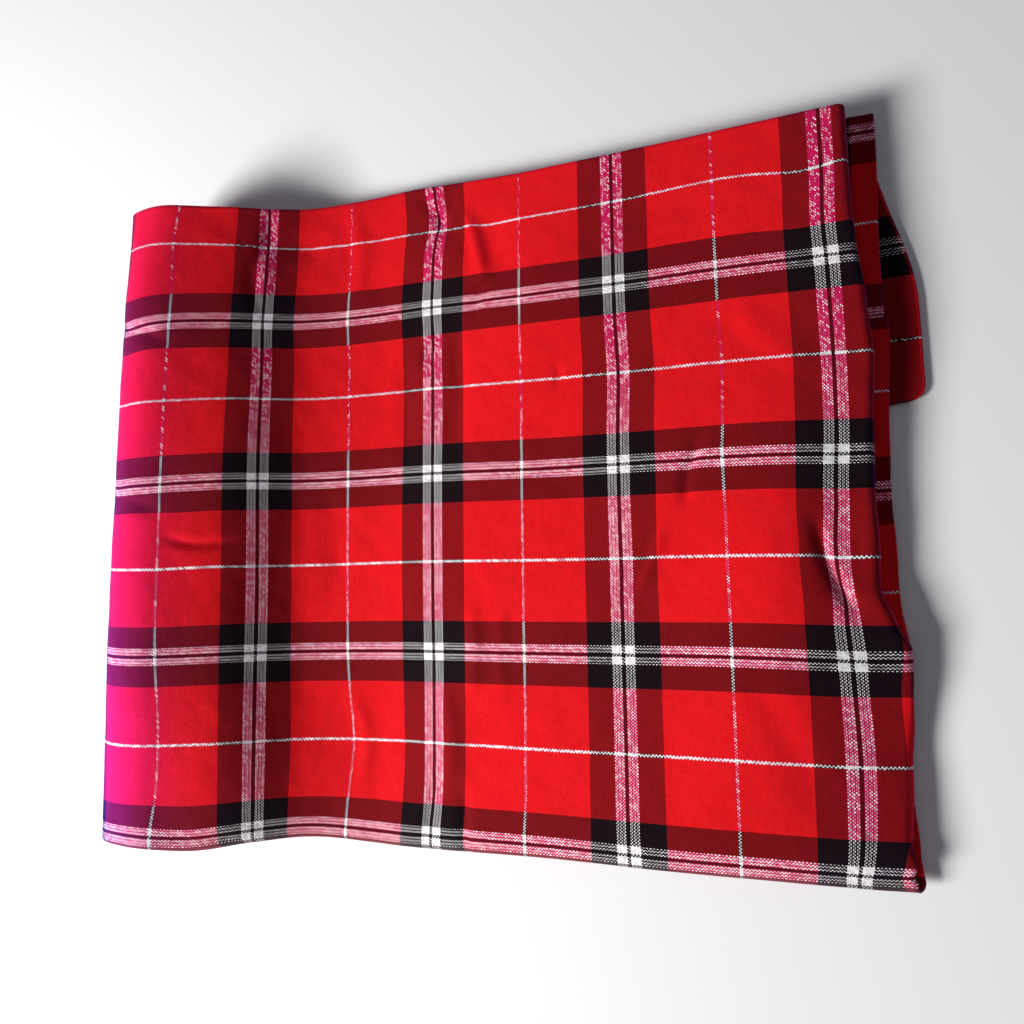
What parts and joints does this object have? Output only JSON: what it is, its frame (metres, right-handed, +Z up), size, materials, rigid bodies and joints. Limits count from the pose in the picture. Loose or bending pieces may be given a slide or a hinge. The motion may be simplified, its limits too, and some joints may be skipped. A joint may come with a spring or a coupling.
{
  "type": "shuka blanket",
  "caption": "Woven shuka blanket in a red, black and white check, folded back and forth and then in half round a soft side fold, to lie on a shelf, bed or table.",
  "frame": {"origin": "centre of the bounding box's footprint, on the surface that the blanket lies on", "axes": "+X from the side fold to the free edges, +Y from the front fold to the back, +Z up"},
  "size_m": [0.7498, 0.6346, 0.0945],
  "materials": {
    "woven_cloth": "matt plain weave"
  },
  "bodies": {
    "root": {"blanket": "woven_cloth"}
  },
  "joints": []
}
